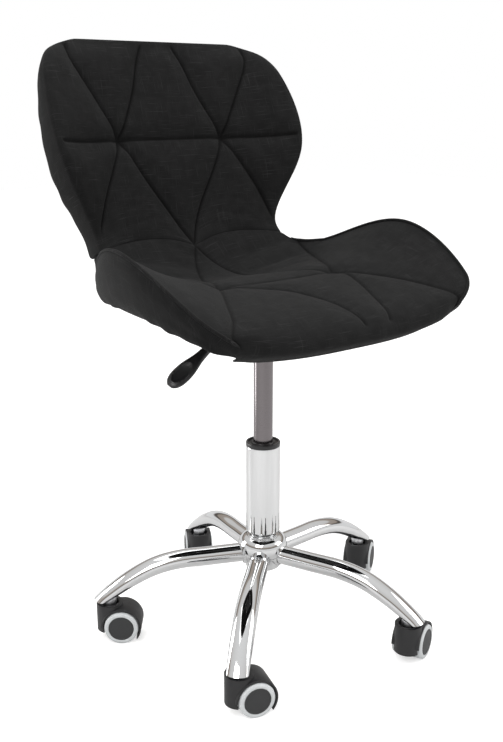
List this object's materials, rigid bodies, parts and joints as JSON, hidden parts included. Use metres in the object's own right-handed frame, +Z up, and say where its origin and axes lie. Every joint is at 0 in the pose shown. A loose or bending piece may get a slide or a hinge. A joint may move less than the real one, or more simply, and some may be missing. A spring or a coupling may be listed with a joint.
{
  "type": "swivel desk chair",
  "caption": "Small armless swivel chair with a quilted one-piece bucket seat and back, gas height lift, chromed star base and twin-wheel casters.",
  "frame": {"origin": "on the floor, on the swivel axis of the seat and centre of the base", "axes": "+Z up along the swivel axis; -Y is the way the sitter faces; +X is the sitter's left, so the height lever is at -X"},
  "size_m": [0.5323, 0.5086, 0.857],
  "materials": {
    "chrome": "bright chrome plate on steel",
    "zinc_steel": "bright zinc plate on steel",
    "bearing_steel": "ground and polished steel",
    "brushed_steel": "drawn steel tube, satin, brushed round",
    "black_plastic": "black moulded nylon",
    "black_rubber": "black rubber",
    "black_paint": "black powder coat",
    "plywood": "moulded birch plywood, unfinished",
    "black_fabric": "black linen-look woven polyester over foam",
    "dust_cloth": "black non-woven dust cloth",
    "lever_plastic": "black moulded plastic, satin gloss",
    "hood_plastic": "charcoal moulded nylon, fine texture",
    "cap_plastic": "dark grey moulded nylon",
    "grey_tyre": "light grey polyurethane"
  },
  "bodies": {
    "base": {"base_hub": "chrome", "leg_1": "chrome", "leg_2": "chrome", "leg_3": "chrome", "leg_4": "chrome", "leg_5": "chrome", "stem_sockets": "zinc_steel", "caster_stems": "zinc_steel", "gas_column": "chrome", "guide_bush": "black_plastic", "bearing_lower_race": "bearing_steel", "retaining_clip": "zinc_steel"},
    "spindle": {"piston_rod": "bearing_steel", "rod_piston": "black_plastic", "bearing_balls": "bearing_steel", "bearing_upper_race": "bearing_steel", "rubber_buffer": "black_rubber"},
    "seat": {"gas_cylinder": "brushed_steel", "cylinder_end_guide": "black_plastic", "seat_plate": "black_paint", "seat_bolts": "zinc_steel", "tee_nuts": "zinc_steel", "seat_shell": "plywood", "seat_pad": "black_fabric", "back_pad": "black_fabric", "back_cover": "black_fabric", "dust_cover": "dust_cloth"},
    "lever": {"lever_rod": "black_paint", "lever_handle": "lever_plastic"},
    "valve": {"valve_button": "bearing_steel"},
    "caster_1": {"caster_1_housing": "hood_plastic", "caster_1_axle": "zinc_steel"},
    "caster_1_a": {"caster_1_wheel_a": "cap_plastic", "caster_1_tyre_a": "grey_tyre"},
    "caster_1_b": {"caster_1_wheel_b": "cap_plastic", "caster_1_tyre_b": "grey_tyre"},
    "caster_2": {"caster_2_housing": "hood_plastic", "caster_2_axle": "zinc_steel"},
    "caster_2_a": {"caster_2_wheel_a": "cap_plastic", "caster_2_tyre_a": "grey_tyre"},
    "caster_2_b": {"caster_2_wheel_b": "cap_plastic", "caster_2_tyre_b": "grey_tyre"},
    "caster_3": {"caster_3_housing": "hood_plastic", "caster_3_axle": "zinc_steel"},
    "caster_3_a": {"caster_3_wheel_a": "cap_plastic", "caster_3_tyre_a": "grey_tyre"},
    "caster_3_b": {"caster_3_wheel_b": "cap_plastic", "caster_3_tyre_b": "grey_tyre"},
    "caster_4": {"caster_4_housing": "hood_plastic", "caster_4_axle": "zinc_steel"},
    "caster_4_a": {"caster_4_wheel_a": "cap_plastic", "caster_4_tyre_a": "grey_tyre"},
    "caster_4_b": {"caster_4_wheel_b": "cap_plastic", "caster_4_tyre_b": "grey_tyre"},
    "caster_5": {"caster_5_housing": "hood_plastic", "caster_5_axle": "zinc_steel"},
    "caster_5_a": {"caster_5_wheel_a": "cap_plastic", "caster_5_tyre_a": "grey_tyre"},
    "caster_5_b": {"caster_5_wheel_b": "cap_plastic", "caster_5_tyre_b": "grey_tyre"}
  },
  "joints": [
    {"name": "seat_swivel", "type": "hinge", "parent": "base", "child": "spindle", "pos_m": [0, 0, 0.1], "axis": [0, 0, 1], "continuous": true},
    {"name": "seat_height", "type": "slide", "parent": "spindle", "child": "seat", "axis": [0, 0, 1], "range_m": [-0.1, 0]},
    {"name": "lever_tilt", "type": "hinge", "parent": "seat", "child": "lever", "pos_m": [-0.038, 0, 0.45405], "axis": [0, 1, 0], "range_deg": [0, 4.5], "stiffness_Nm_per_rad": 1.5, "springref_deg": -6.88},
    {"name": "valve_press", "type": "slide", "parent": "seat", "child": "valve", "axis": [0, 0, -1], "range_m": [0, 0.003], "stiffness_N_per_m": 400, "springref_m": -0.001},
    {"name": "caster_1_swivel", "type": "hinge", "parent": "base", "child": "caster_1", "pos_m": [0.22829, 0.02803, 0.03], "axis": [0, 0, 1], "continuous": true},
    {"name": "caster_1_wheel_a_roll", "type": "hinge", "parent": "caster_1", "child": "caster_1_a", "pos_m": [0.24321, 0.03809, 0.025], "axis": [-0.5592, 0.829, 0], "continuous": true},
    {"name": "caster_1_wheel_b_roll", "type": "hinge", "parent": "caster_1", "child": "caster_1_b", "pos_m": [0.24321, 0.03809, 0.025], "axis": [-0.5592, 0.829, 0], "continuous": true},
    {"name": "caster_2_swivel", "type": "hinge", "parent": "base", "child": "caster_2", "pos_m": [0.04389, 0.22577, 0.03], "axis": [0, 0, 1], "continuous": true},
    {"name": "caster_2_wheel_a_roll", "type": "hinge", "parent": "caster_2", "child": "caster_2_a", "pos_m": [0.05289, 0.24136, 0.025], "axis": [-0.866, 0.5, 0], "continuous": true},
    {"name": "caster_2_wheel_b_roll", "type": "hinge", "parent": "caster_2", "child": "caster_2_b", "pos_m": [0.05289, 0.24136, 0.025], "axis": [-0.866, 0.5, 0], "continuous": true},
    {"name": "caster_3_swivel", "type": "hinge", "parent": "base", "child": "caster_3", "pos_m": [-0.20116, 0.11151, 0.03], "axis": [0, 0, 1], "continuous": true},
    {"name": "caster_3_wheel_a_roll", "type": "hinge", "parent": "caster_3", "child": "caster_3_a", "pos_m": [-0.18698, 0.10042, 0.025], "axis": [0.6157, 0.788, 0], "continuous": true},
    {"name": "caster_3_wheel_b_roll", "type": "hinge", "parent": "caster_3", "child": "caster_3_b", "pos_m": [-0.18698, 0.10042, 0.025], "axis": [0.6157, 0.788, 0], "continuous": true},
    {"name": "caster_4_swivel", "type": "hinge", "parent": "base", "child": "caster_4", "pos_m": [-0.16821, -0.15686, 0.03], "axis": [0, 0, 1], "continuous": true},
    {"name": "caster_4_wheel_a_roll", "type": "hinge", "parent": "caster_4", "child": "caster_4_a", "pos_m": [-0.15109, -0.16242, 0.025], "axis": [0.309, 0.9511, 0], "continuous": true},
    {"name": "caster_4_wheel_b_roll", "type": "hinge", "parent": "caster_4", "child": "caster_4_b", "pos_m": [-0.15109, -0.16242, 0.025], "axis": [0.309, 0.9511, 0], "continuous": true},
    {"name": "caster_5_swivel", "type": "hinge", "parent": "base", "child": "caster_5", "pos_m": [0.0972, -0.20845, 0.03], "axis": [0, 0, 1], "continuous": true},
    {"name": "caster_5_wheel_a_roll", "type": "hinge", "parent": "caster_5", "child": "caster_5_a", "pos_m": [0.11389, -0.20171, 0.025], "axis": [-0.3746, 0.9272, 0], "continuous": true},
    {"name": "caster_5_wheel_b_roll", "type": "hinge", "parent": "caster_5", "child": "caster_5_b", "pos_m": [0.11389, -0.20171, 0.025], "axis": [-0.3746, 0.9272, 0], "continuous": true}
  ],
  "couplings": [
    {"joint": "valve_press", "follows": "lever_tilt", "m_per_rad": 0.038}
  ]
}
